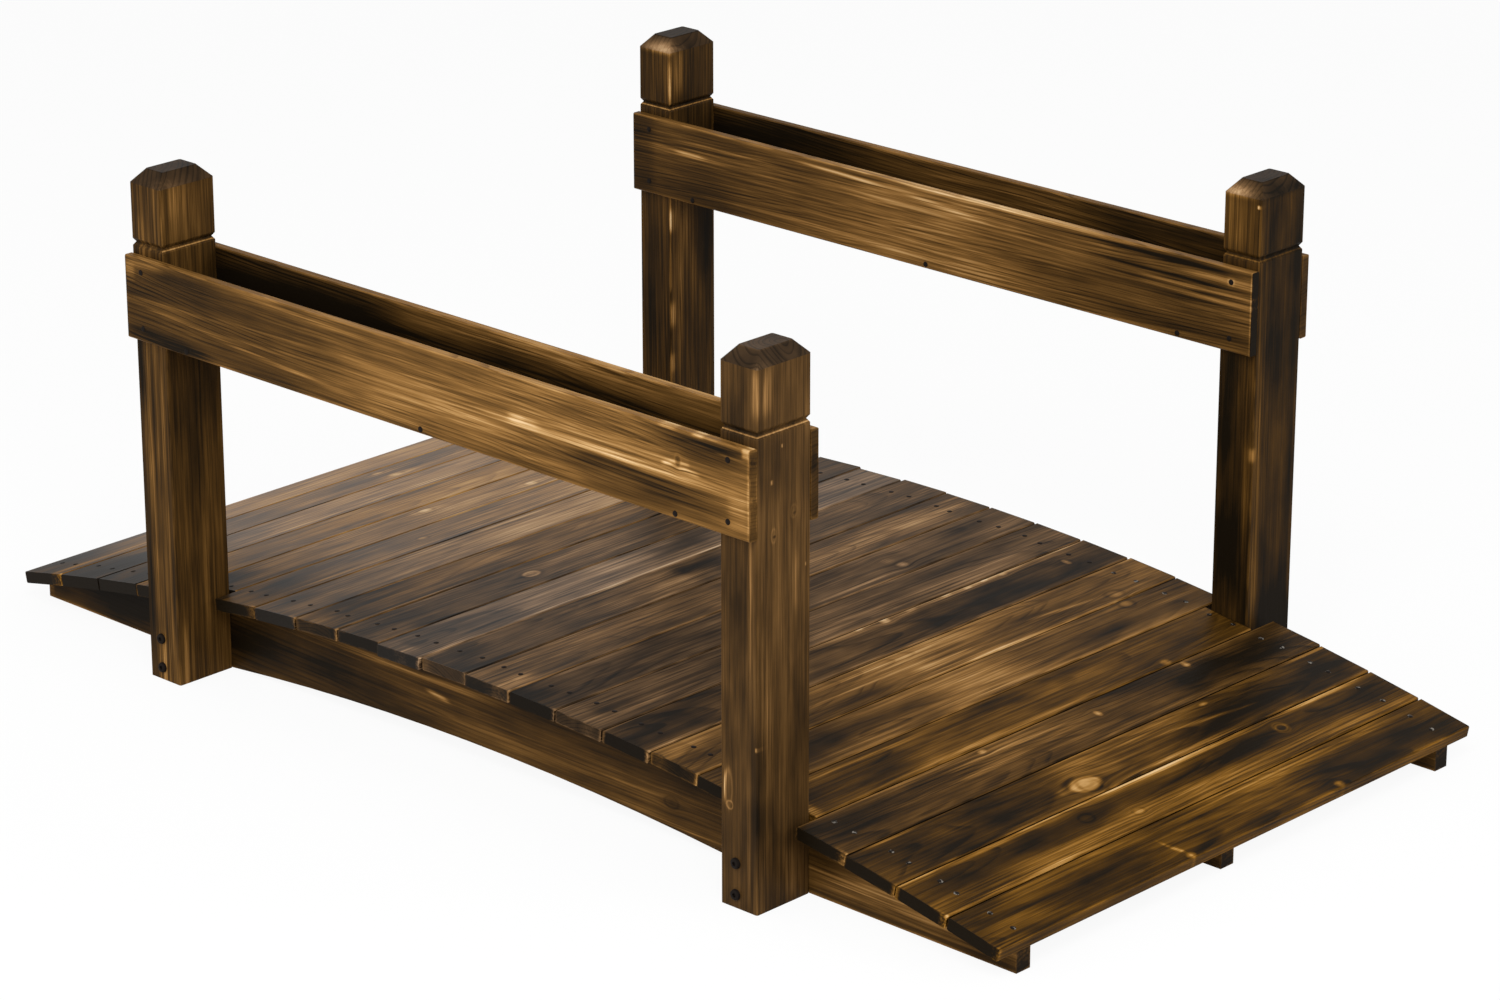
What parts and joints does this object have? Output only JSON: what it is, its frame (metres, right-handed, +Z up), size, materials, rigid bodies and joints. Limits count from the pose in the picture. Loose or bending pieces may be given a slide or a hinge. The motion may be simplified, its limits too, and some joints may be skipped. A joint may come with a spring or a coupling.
{
  "type": "moon bridge",
  "caption": "Low arched wooden garden footbridge: cross boards on curved stringers, capped posts at the ends of the hump, and box-shaped railings open at the top as troughs.",
  "frame": {"origin": "on the ground, at the middle of the bridge's length and width", "axes": "+X along the walkway, +Y across the walkway, +Z up from the ground"},
  "size_m": [1.5194, 0.898, 0.6],
  "materials": {
    "deck_wood": "torched fir, satin, dark burnt faces with paler grain",
    "stringer_wood": "torched fir, satin",
    "post_wood": "torched fir, satin, worn pale arrises",
    "rail_wood": "torched fir, satin, golden grain",
    "steel_fixings": "black coated screws and bolts"
  },
  "bodies": {
    "root": {"left_ramp_board_1": "deck_wood", "right_ramp_board_1": "deck_wood", "left_ramp_board_2": "deck_wood", "right_ramp_board_2": "deck_wood", "left_ramp_board_3": "deck_wood", "right_ramp_board_3": "deck_wood", "left_ramp_board_4": "deck_wood", "right_ramp_board_4": "deck_wood", "left_post_board": "deck_wood", "right_post_board": "deck_wood", "span_board_01": "deck_wood", "span_board_02": "deck_wood", "span_board_03": "deck_wood", "span_board_04": "deck_wood", "span_board_05": "deck_wood", "span_board_06": "deck_wood", "span_board_07": "deck_wood", "span_board_08": "deck_wood", "span_board_09": "deck_wood", "span_board_10": "deck_wood", "span_board_11": "deck_wood", "span_board_12": "deck_wood", "near_stringer": "stringer_wood", "middle_stringer": "stringer_wood", "far_stringer": "stringer_wood", "near_left_post": "post_wood", "near_right_post": "post_wood", "far_left_post": "post_wood", "far_right_post": "post_wood", "near_rail_outer_board": "rail_wood", "near_rail_inner_board": "rail_wood", "far_rail_inner_board": "rail_wood", "far_rail_outer_board": "rail_wood", "near_rail_floor": "rail_wood", "far_rail_floor": "rail_wood"}
  },
  "joints": []
}
